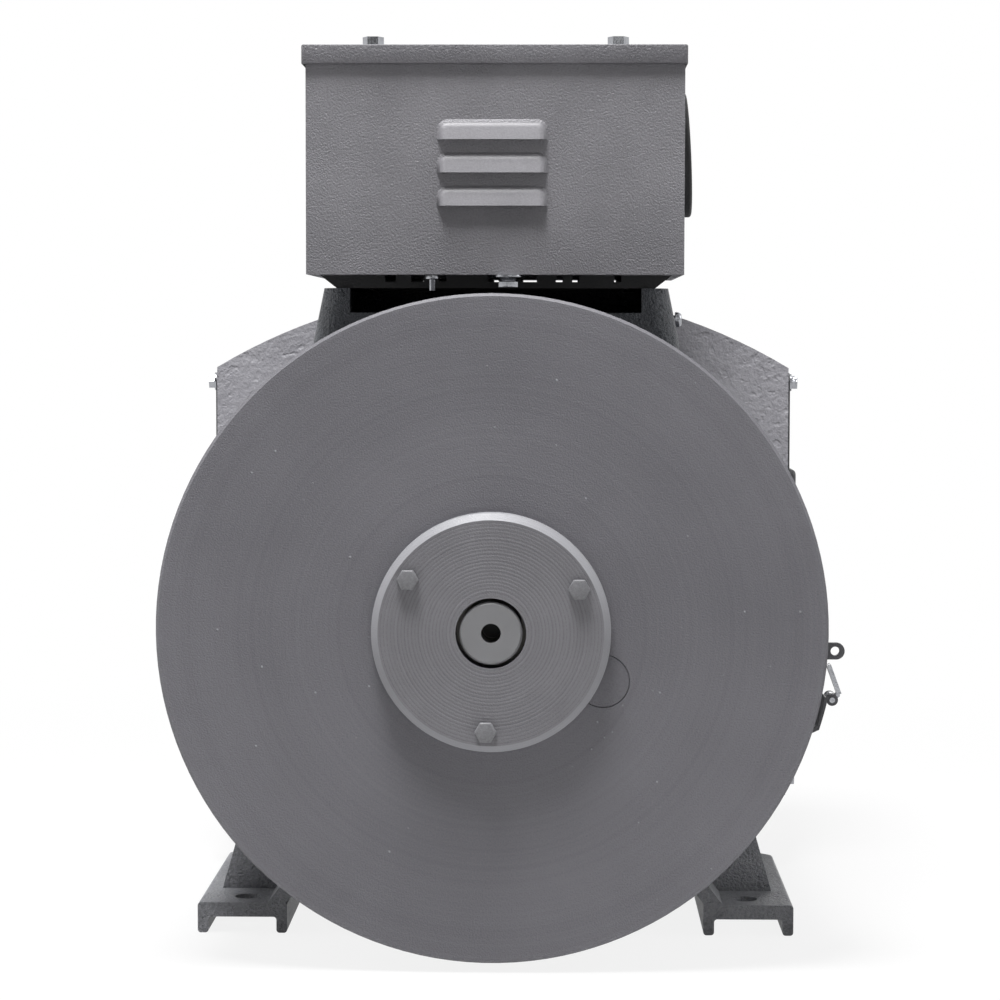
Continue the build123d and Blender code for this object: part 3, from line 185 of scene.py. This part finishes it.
def enamel(name, light, dark, grain, depth, gloss=0.42, pits=0.0):
    """Sprayed enamel: mottled colour, orange peel, a fine grit and the pits of a sand-cast skin."""
    paint = Finish(name)
    cloud = paint.noise(0.05, 3)
    peel = paint.noise(grain, 2)
    grit = paint.noise(grain / 2.5, 1)
    hollow = paint.ramp(paint.noise(grain * 2.2, 2), 0.30, 0.42)
    share = paint.ramp(cloud * 0.5 + peel * 0.3 + grit * 0.2, 0.36, 0.64)
    paint.colour = paint.mix(share, dark, light)
    paint.set(base_color=paint.colour)
    paint.set(roughness=gloss + peel * 0.14)
    paint.skin = peel + grit * 0.4 + hollow * pits
    paint.relief(paint.skin, depth)
    return paint


casting_grain = 0.0016
pedestal_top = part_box("stator_frame")[1].z
# Painted shade: the top of the pedestal, under the box, fades to a darker mottled tone that stands for the
# shade the box casts on it.
pedestal_shade_start = pedestal_top - 0.075
pedestal_shade_full = pedestal_top - 0.050
casting_paint = enamel("cast_iron_enamel", tone(150, 151, 155), tone(112, 113, 117), casting_grain, 0.0011,
                       pits=0.5)
above_barrel = casting_paint.ramp(casting_paint.place_on("Z"), pedestal_shade_start, pedestal_shade_full)
pedestal_painted_shade = casting_paint.mix(casting_paint.noise(casting_grain, 2), tone(44, 46, 50), tone(92, 95, 101))
casting_paint.set(base_color=casting_paint.mix(above_barrel, casting_paint.colour, pedestal_painted_shade))
coat(casting_paint, "stator_frame")

earth_zinc = Finish("zinc_plate", metallic=1.0)
cloudy = earth_zinc.noise(0.004, 3)
earth_zinc.set(base_color=earth_zinc.mix(cloudy, tone(138, 139, 144), tone(186, 188, 192)))
earth_zinc.set(roughness=0.10 + cloudy * 0.16)
earth_zinc.relief(earth_zinc.noise(0.0011), 0.00012)
coat(earth_zinc, "earth_screw", "rear_cover_screws", "drive_housing_screws")

# ---------------------------------------------------------------- stator core and winding
# A pack of punched laminations pressed into the barrel, with varnished copper coils whose
# ends stand out of the slots at both sides.
stack = Finish("lamination_stack", metallic=0.6)
layers = stack.noise(0.0011, 1, stack.stretched(0.05, 1, 0.05))
stack.set(base_color=stack.mix(layers, tone(70, 70, 74), tone(112, 113, 118)))
stack.set(roughness=0.4 + layers * 0.2)
stack.relief(layers, 0.0004)
coat(stack, "stator_core", "rotor_core")

coils = Finish("varnished_copper", coat_weight=0.5, coat_roughness=0.2)
strands = coils.noise(0.0022, 2, coils.stretched(1, 0.3, 1))
coils.set(base_color=coils.mix(strands, tone(96, 42, 20), tone(164, 88, 44)))
coils.set(roughness=0.35 + strands * 0.2)
coils.relief(strands, 0.0012)
coat(coils, "stator_winding", "field_coils")

# ---------------------------------------------------------------- rotor
# A turned steel shaft carries the poles, the fan, the slip rings on their moulded hub and
# the inner bearing rings.
turned = Finish("turned_steel", metallic=1.0)
cuts = turned.noise(0.0009, 2, turned.stretched(0.02, 1, 0.02))
turned.set(base_color=turned.mix(cuts, tone(140, 141, 144), tone(186, 187, 190)))
turned.set(roughness=0.3 + cuts * 0.16)
turned.relief(cuts, 0.00012)
coat(turned, "rear_bearing_outer_ring", "rear_bearing_inner_ring", "rear_bearing_balls",
     "drive_bearing_outer_ring", "drive_bearing_inner_ring", "drive_bearing_balls")

shaft_low, shaft_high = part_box("shaft")
axis_height = (shaft_low.z + shaft_high.z) / 2
shaft_middle = (0, 0, axis_height)
shaft_steel = Finish("ground_shaft")
ring_cuts = shaft_steel.noise(0.0012, 2, shaft_steel.stretched(0.02, 1, 0.02))
film = shaft_steel.noise(0.012, 3)
bare = shaft_steel.mix(film, tone(132, 130, 127), tone(160, 158, 155))
sprayed = shaft_steel.mix(film, tone(112, 112, 114), tone(120, 120, 122))
spray_full = shaft_low.y + 0.006
spray_end = shaft_low.y + 0.011
overspray = shaft_steel.ramp(shaft_steel.place_on("Y"), spray_full, spray_end, 1.0, 0.0)
# Painted shade: the centre hole in the shaft's end is coloured near-black and not metallic.
hole_radius = 0.0047
hole_lip = 0.0005
from_axis = shaft_steel.shaft_radius(shaft_middle)
centre_hole_painted_shade = shaft_steel.ramp(from_axis, hole_radius, hole_radius + hole_lip, 1.0, 0.0)
outside = shaft_steel.mix(overspray, bare, sprayed)
shaft_steel.set(base_color=shaft_steel.mix(centre_hole_painted_shade, outside, tone(16, 16, 17)))
shaft_steel.set(roughness=0.38 + ring_cuts * 0.14, metallic=(1 - overspray) * (1 - centre_hole_painted_shade) * 0.85)
shaft_steel.relief(ring_cuts, 0.00006)
coat(shaft_steel, "shaft")

brass = Finish("turned_brass", metallic=1.0)
brass_cuts = brass.noise(0.0008, 2, brass.stretched(0.02, 1, 0.02))
brass.set(base_color=brass.mix(brass_cuts, tone(178, 138, 72), tone(214, 178, 106)))
brass.set(roughness=0.22 + brass_cuts * 0.16)
brass.relief(brass_cuts, 0.0001)
coat(brass, "slip_rings", "rear_bearing_cage", "drive_bearing_cage", "terminal_studs")

phenolic = Finish("moulded_phenolic")
flow = phenolic.noise(0.006, 4)
phenolic.set(base_color=phenolic.mix(flow, tone(38, 28, 24), tone(62, 46, 38)))
phenolic.set(roughness=0.38 + flow * 0.2)
phenolic.relief(flow, 0.0002)
coat(phenolic, "slip_ring_hub", "brush_holder", "brush_holder_lid", "terminal_board")

fan_metal = Finish("cast_aluminium", metallic=1.0)
skin = fan_metal.noise(0.002, 3)
fan_metal.set(base_color=fan_metal.mix(skin, tone(150, 151, 153), tone(186, 187, 190)))
fan_metal.set(roughness=0.42 + skin * 0.2)
fan_metal.relief(skin, 0.0004)
coat(fan_metal, "cooling_fan")

# ---------------------------------------------------------------- brush gear
# Two carbon brushes slide in a moulded holder with its own lid and screws.
# A wound wire spring presses each on its ring.
carbon = Finish("brush_carbon")
soot = carbon.noise(0.0012, 2)
carbon.set(base_color=carbon.mix(soot, tone(26, 26, 28), tone(48, 48, 50)))
carbon.set(roughness=0.5 + soot * 0.2)
carbon.relief(soot, 0.0001)
coat(carbon, "rear_brush", "front_brush")
coat(earth_zinc, "brush_holder_screws")

spring_turns = 5
spring_steps = 14
spring_wire = 0.0005
for side in ("rear", "front"):
    low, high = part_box(side + "_brush_spring")
    coil = bpy.data.curves.new(side + "_spring_wire", "CURVE")
    coil.dimensions = "3D"
    coil.bevel_depth = spring_wire
    coil.bevel_resolution = 2
    line = coil.splines.new("POLY")
    line.points.add(spring_turns * spring_steps)
    centre = (low + high) / 2
    reach = (high.x - low.x) / 2 - spring_wire
    climb = (high.z - low.z - 2 * spring_wire) / (spring_turns * spring_steps)
    for step, point in enumerate(line.points):
        angle = 2 * math.pi * step / spring_steps
        rise = low.z + spring_wire + climb * step
        point.co = (centre.x + reach * math.cos(angle), centre.y + reach * math.sin(angle), rise, 1)
    spring = bpy.data.objects.new(side + "_spring_wire", coil)
    bpy.context.collection.objects.link(spring)
    bpy.context.view_layer.objects.active = spring
    spring.select_set(True)
    bpy.ops.object.convert(target="MESH")
    bpy.ops.object.shade_smooth()
    spring.select_set(False)
    spring.data.materials.append(turned.material)
    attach(spring, "housing")
    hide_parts(side + "_brush_spring")
    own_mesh(spring)

# ---------------------------------------------------------------- slip-ring end cover
# A round iron cover faced on the lathe and enamelled: faint turning rings, nibs and pits in the paint,
# the nibs lightened as painted glints, and an iron plug hammered into its core hole.
cover_paint = Finish("end_cover_enamel")
radius = cover_paint.shaft_radius(shaft_middle)
rings = cover_paint.turning(radius, 1 / 420, 3.0)
broad = cover_paint.turning(radius, 1 / 45, 2.0)
cloud = cover_paint.noise(0.12, 3)
peel = cover_paint.noise(0.00085, 2)
swell = cover_paint.noise(0.0045, 2)
sparse = cover_paint.ramp(cover_paint.noise(0.021, 1), 0.50, 0.56)
nib_pitch = 0.0105
nib_field = {"Vector": cover_paint.place, "Scale": 1 / nib_pitch}
from_nib = cover_paint.add("ShaderNodeTexVoronoi", {}, nib_field)
# The nibs are real bumps in the relief; their lighter colour is a painted glint.
nibs_with_painted_glint = cover_paint.ramp(from_nib, 0.03, 0.08, 1.0, 0.0) * sparse
tint = cover_paint.ramp(cloud * 0.4 + broad * 0.12 + rings * 0.13 + peel * 0.35, 0.35, 0.65)
flat_coat = cover_paint.mix(tint, tone(90, 89, 94), tone(104, 103, 108))
cover_paint.set(base_color=cover_paint.mix(nibs_with_painted_glint * 0.5, flat_coat, tone(170, 170, 174)))
cover_paint.set(roughness=0.46 + peel * 0.12)
cover_paint.relief(peel * 0.9 + swell * 0.2 + rings * 0.16 + nibs_with_painted_glint * 0.9, 0.00048)
coat(cover_paint, "rear_end_cover", "core_plug")

# ---------------------------------------------------------------- window band and its latch
# A strip of dark enamelled sheet wraps the windows behind the cover.
# A plated toggle lever, pinned to its base, draws the strip's ends together.
band_paint = enamel("band_enamel", tone(72, 72, 75), tone(54, 54, 57), 0.003, 0.0003, 0.38)
coat(band_paint, "window_band", "latch_eye", "latch_base")
coat(earth_zinc, "latch_lever", "latch_pin")

# ---------------------------------------------------------------- bearing cap
# A turned iron cap held by three hexagon screws through the hub.
# The tool marks stay open under the paint, with painted shade darkening the bottoms of the grooves, and a
# painted highlight makes its rim lighter all round.
cap_paint = Finish("bearing_cap_enamel")
cap_radius = cap_paint.shaft_radius(shaft_middle)
groove_pitch = 0.0018
groove = cap_radius.maths("SINE", cap_radius * (2 * math.pi / groove_pitch))
ragged = cap_paint.turning(cap_radius, 1 / 700, 2.0)
cap_cloud = cap_paint.noise(0.03, 3)
cap_peel = cap_paint.noise(0.0008, 2)
# Painted shade: the bottoms of the turned grooves are darkened, broken up by the peel.
groove_painted_shade = cap_paint.ramp(groove, -0.35, -0.9) * cap_paint.ramp(cap_peel, 0.35, 0.6)
cap_share = cap_paint.ramp(cap_cloud * 0.4 + ragged * 0.3 + cap_peel * 0.3, 0.34, 0.66)
cap_flat = cap_paint.mix(cap_share, tone(103, 102, 106), tone(114, 113, 117))
# Painted highlight: the band over the rim's bevel is a lighter tone.
rim_inside = 0.0581
rim_outside = 0.0587
cap_rim_painted_highlight = cap_paint.ramp(cap_radius, rim_inside, rim_outside)
cap_face = cap_paint.mix(groove_painted_shade * 0.45, cap_flat, tone(62, 62, 65))
cap_paint.set(base_color=cap_paint.mix(cap_rim_painted_highlight, cap_face, tone(136, 136, 140)))
cap_paint.set(roughness=0.42 + cap_peel * 0.14)
cap_paint.relief(groove * 0.10 + ragged * 0.2 + cap_peel * 0.6, 0.00034)
coat(cap_paint, "bearing_cap")

screw_paint = enamel("painted_screw", tone(122, 122, 125), tone(100, 100, 103), 0.0016, 0.0002, 0.34)
coat(screw_paint, "bearing_cap_screws", "drive_cap_screws")

bare_iron = enamel("inner_cap_primer", tone(92, 90, 88), tone(70, 68, 66), 0.003, 0.0006, 0.55)
coat(bare_iron, "rear_inner_cap", "drive_inner_cap", "drive_bearing_cap")

# ---------------------------------------------------------------- drive-end fan housing
# A light grey iron casting, wide and flat-sided, with a rough skin under the enamel. Louvred
# sheet covers are screwed over its two side outlets.
housing_paint = enamel("fan_housing_enamel", tone(150, 149, 154), tone(136, 135, 140), 0.0030, 0.0006,
                       pits=0.5)
coat(housing_paint, "drive_end_housing")
coat(band_paint, "left_outlet_cover", "right_outlet_cover")
coat(earth_zinc, "outlet_cover_screws")

# ---------------------------------------------------------------- terminal box
# Folded sheet with three pressed louvres, bolted on a black saddle. The enamel has a coarse
# hammered skin.
box_paint = enamel("terminal_box_enamel", tone(119, 118, 122), tone(105, 104, 108), 0.00110, 0.00048, 0.36)
# Painted shade: the lid takes the box's enamel in a darker tone, for its front face leaning down away from
# the light.
lid_paint_with_painted_shade = enamel("terminal_lid_enamel_painted_shade", tone(98, 97, 101), tone(86, 85, 89), 0.00110, 0.00045, 0.38)
box_low, box_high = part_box("terminal_box")
hood_reach = 0.006
box_wall = box_low.y + hood_reach
hood_skin = 0.12
hood_edge = box_wall - 0.0016
wall_edge = box_wall - 0.0004
clear_of_hoods = box_paint.ramp(box_paint.place_on("Y"), hood_edge, wall_edge, hood_skin, 1.0)
box_paint.relief(box_paint.skin * clear_of_hoods, 0.00052)
coat(box_paint, "terminal_box")
coat(lid_paint_with_painted_shade, "terminal_box_lid")


def separate_copy(node):
    """A copy of a part to work on, merged and selected, which stands for its node."""
    piece = bpy.data.objects.new(node + "_finished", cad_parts[node].data.copy())
    bpy.context.collection.objects.link(piece)
    bpy.context.view_layer.objects.active = piece
    piece.select_set(True)
    bpy.ops.object.mode_set(mode="EDIT")
    bpy.ops.mesh.select_all(action="SELECT")
    bpy.ops.mesh.remove_doubles(threshold=0.00002)
    bpy.ops.object.mode_set(mode="OBJECT")
    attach(piece, "housing")
    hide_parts(node)
    return piece


def rounded_copy(node, width):
    """A copy of a part with its folds and cut edges rounded."""
    piece = separate_copy(node)
    bpy.ops.object.mode_set(mode="EDIT")
    bpy.ops.mesh.dissolve_limited(angle_limit=math.radians(3))
    bpy.ops.object.mode_set(mode="OBJECT")
    edges = piece.modifiers.new("rounded_edges", "BEVEL")
    edges.width = width
    edges.segments = 3
    edges.limit_method = "ANGLE"
    edges.angle_limit = math.radians(50)
    edges.use_clamp_overlap = False
    bpy.ops.object.modifier_apply(modifier=edges.name)
    bpy.ops.object.shade_smooth_by_angle(angle=math.radians(32))
    piece.select_set(False)
    return piece


# The lid is a loose fit, so its front skirt stands off the box.
lid = rounded_copy("terminal_box_lid", 0.0006)
lid_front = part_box("terminal_box_lid")[0].y
skirt_sheet = 0.0008
front_play = 0.0015
for point in lid.data.vertices:
    if point.co.y < lid_front + skirt_sheet:
        point.co.y -= front_play
rounded_copy("bearing_cap_screws", 0.0005)

# The press tilts each louvre's face, so it leans out from its upper edge to its mouth.
hood_rows = 3
hood_height = 0.011
hood_pitch = 0.0178
hood_top = box_high.z - 0.0385
upper_share = 0.16
mouth_share = 0.78
box_shell = separate_copy("terminal_box")
for point in box_shell.data.vertices:
    out = box_wall - point.co.y
    if out > 0.00005:
        row = min(max(round((hood_top - hood_height / 2 - point.co.z) / hood_pitch), 0), hood_rows - 1)
        fall = min(max((hood_top - row * hood_pitch - point.co.z) / hood_height, 0), 1)
        point.co.y = box_wall - out * (upper_share + (mouth_share - upper_share) * fall)
bpy.ops.object.shade_smooth_by_angle(angle=math.radians(26))
for face in box_shell.data.polygons:
    if abs(face.normal.y) > 0.999 and abs(face.center.y - box_wall) < 0.0001:
        face.use_smooth = False
box_shell.select_set(False)


def turned_stud(name, place, sides, rings, finish):
    """A stud or nut that hangs down; rings lists each step's drop and radius."""
    bpy.ops.mesh.primitive_circle_add(vertices=sides, radius=rings[0][1], fill_type="NGON", location=place)
    piece = bpy.context.active_object
    piece.name = name
    bpy.ops.object.mode_set(mode="EDIT")
    bpy.ops.mesh.select_all(action="SELECT")
    for before, after in zip(rings, rings[1:]):
        bpy.ops.mesh.extrude_region_move(TRANSFORM_OT_translate={"value": (0, 0, before[0] - after[0])})
        share = after[1] / before[1]
        bpy.ops.transform.resize(value=(share, share, 1))
    bpy.ops.mesh.select_all(action="SELECT")
    bpy.ops.mesh.normals_make_consistent(inside=False)
    bpy.ops.object.mode_set(mode="OBJECT")
    edges = piece.modifiers.new("broken_edges", "BEVEL")
    edges.width = 0.0002
    edges.segments = 2
    edges.limit_method = "ANGLE"
    bpy.ops.object.modifier_apply(modifier=edges.name)
    bpy.ops.object.shade_smooth_by_angle(angle=math.radians(30))
    bpy.ops.object.transform_apply(location=True, rotation=False, scale=False)
    piece.select_set(False)
    piece.data.materials.append(finish.material)
    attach(piece, "housing")


under_box = box_low.z - 0.0002
overhang = box_low.y + 0.011
bush_x = 0.0072
bush_drop = 0.0036
tail_x = -0.0340
turned_stud("box_bush_flange", (bush_x, overhang, under_box), 28,
            ((0, 0.0085), (0.0012, 0.0085), (0.0026, 0.0055), (0.0034, 0.0052)), earth_zinc)
turned_stud("box_bush_nut", (bush_x, overhang, under_box - bush_drop), 6,
            ((0, 0.0060), (0.0030, 0.0060)), earth_zinc)
turned_stud("box_screw_tail", (tail_x, overhang, under_box), 14,
            ((0, 0.0042), (0.0022, 0.0042), (0.0024, 0.0020), (0.0085, 0.0019)), earth_zinc)
coat(earth_zinc, "lid_screws", "terminal_nuts")

rubber = Finish("black_rubber")
bloom = rubber.noise(0.009, 3)
rubber.set(base_color=rubber.mix(bloom, tone(22, 22, 23), tone(36, 36, 38)))
rubber.set(roughness=0.5 + bloom * 0.2)
rubber.relief(rubber.noise(0.0012), 0.0002)
coat(rubber, "cable_grommet", "box_saddle")

potting = Finish("potted_regulator")
mould = potting.noise(0.003, 2)
potting.set(base_color=potting.mix(mould, tone(30, 32, 36), tone(46, 48, 54)))
potting.set(roughness=0.42 + mould * 0.16)
potting.relief(mould, 0.0002)
coat(potting, "voltage_regulator")

# ---------------------------------------------------------------- studio
# A white floor under a white surround. Soft light comes from above, with weaker lamps at the
# front, sides and rear, and the surround is dimmer in front of the object than behind it.


def rays(recipe, kind):
    """1 for rays of one kind, 0 for the others."""
    return recipe.add("ShaderNodeLightPath", {}, {}, kind)


def looked_at(recipe):
    """1 for rays that see a surface straight, in a mirror or through glass."""
    bounced = recipe.maths("MAXIMUM", rays(recipe, "Is Glossy Ray"), rays(recipe, "Is Transmission Ray"))
    return recipe.maths("MAXIMUM", rays(recipe, "Is Camera Ray"), bounced)


floor_size = 40.0
shadow_reach = 0.35
clear_reach = 1.1
shadow_clearing = 0.86
bpy.ops.mesh.primitive_plane_add(size=floor_size, location=(0, 0, 0))
floor = bpy.context.active_object
floor.name = "studio_floor"
floor_finish = Finish("studio_floor_paint", base_color=(0.6, 0.6, 0.6, 1), roughness=0.8)
away = floor_finish.add("ShaderNodeVectorMath", {"operation": "LENGTH"}, {0: floor_finish.place}, "Value")
blank = floor_finish.add("ShaderNodeEmission", {}, {"Color": (1, 1, 1, 1), "Strength": 1.0})
painted = Channel(floor_finish, floor_finish.shader.outputs[0])
clearing = floor_finish.ramp(away, shadow_reach, clear_reach, shadow_clearing, 1.0)
share = looked_at(floor_finish) * clearing
sheet = floor_finish.add("ShaderNodeMixShader", {}, {0: share, 1: painted, 2: blank})
floor_finish.join(floor_finish.tree.nodes["Material Output"].inputs["Surface"], sheet)
floor.data.materials.append(floor_finish.material)

world = bpy.data.worlds.new("studio_surround")
bpy.context.scene.world = world
world.use_nodes = True
surround = Recipe(world.node_tree)
background = surround.tree.nodes["Background"]
ambient = 0.25
front_share = 0.12
room = surround.add("ShaderNodeTexCoord", {}, {}, "Generated")
depth_heading = surround.add("ShaderNodeSeparateXYZ", {}, {0: room}, "Y")
front_levels = {0: depth_heading, 1: -0.95, 2: -0.35, 3: front_share, 4: 1.0}
dim_front = surround.add("ShaderNodeMapRange", {}, front_levels)
front_or_view = surround.maths("MAXIMUM", rays(surround, "Is Camera Ray"), dim_front)
level = surround.add("ShaderNodeMapRange", {}, {0: looked_at(surround), 3: ambient, 4: 1.0})
surround.join(background.inputs["Strength"], level * front_or_view)
background.inputs["Color"].default_value = (1, 1, 1, 1)


def lamp(name, place, target, size, power):
    """A square soft box aimed at a point."""
    light = bpy.data.lights.new(name, "AREA")
    light.size = size
    light.energy = power
    holder = bpy.data.objects.new(name, light)
    bpy.context.collection.objects.link(holder)
    holder.location = place
    holder.rotation_euler = (Vector(target) - Vector(place)).to_track_quat("-Z", "Y").to_euler()


middle = (cad_low + cad_high) / 2
lamp("soft_box_above", (-0.25, -0.64, 2.35), middle, 0.7, 94)
lamp("soft_box_front", (0.6, -2.8, 1.3), middle, 1.4, 4)
lamp("soft_box_left", (-2.0, 0.1, 1.5), middle, 1.0, 11)
lamp("soft_box_right", (2.1, -0.1, 1.4), middle, 1.0, 10)
lamp("soft_box_rear", (0.5, 2.6, 1.2), middle, 1.2, 9)

# ---------------------------------------------------------------- camera
# A long lens level with the upper half of the cover, a touch to its right, and turned
# slightly down and left so that the whole head stands in the middle of the frame.
camera_data = bpy.data.cameras.new("camera")
camera = bpy.data.objects.new("camera", camera_data)
bpy.context.collection.objects.link(camera)
camera_distance = 1.4
camera_right = 0.0327
camera_height = 0.3348
camera_data.lens = 97.56
cover_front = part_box("rear_end_cover")[0].y
camera.location = (camera_right, cover_front - camera_distance, camera_height)
pitch_down = math.radians(3.54)
turn_left = math.radians(1.159)
roll = math.radians(0.085)
aim = Euler((math.pi / 2 - pitch_down, 0, turn_left)).to_matrix()
camera.rotation_euler = (aim @ Euler((0, 0, roll)).to_matrix()).to_euler()
bpy.context.scene.camera = camera
bpy.context.scene.view_settings.view_transform = "Standard"
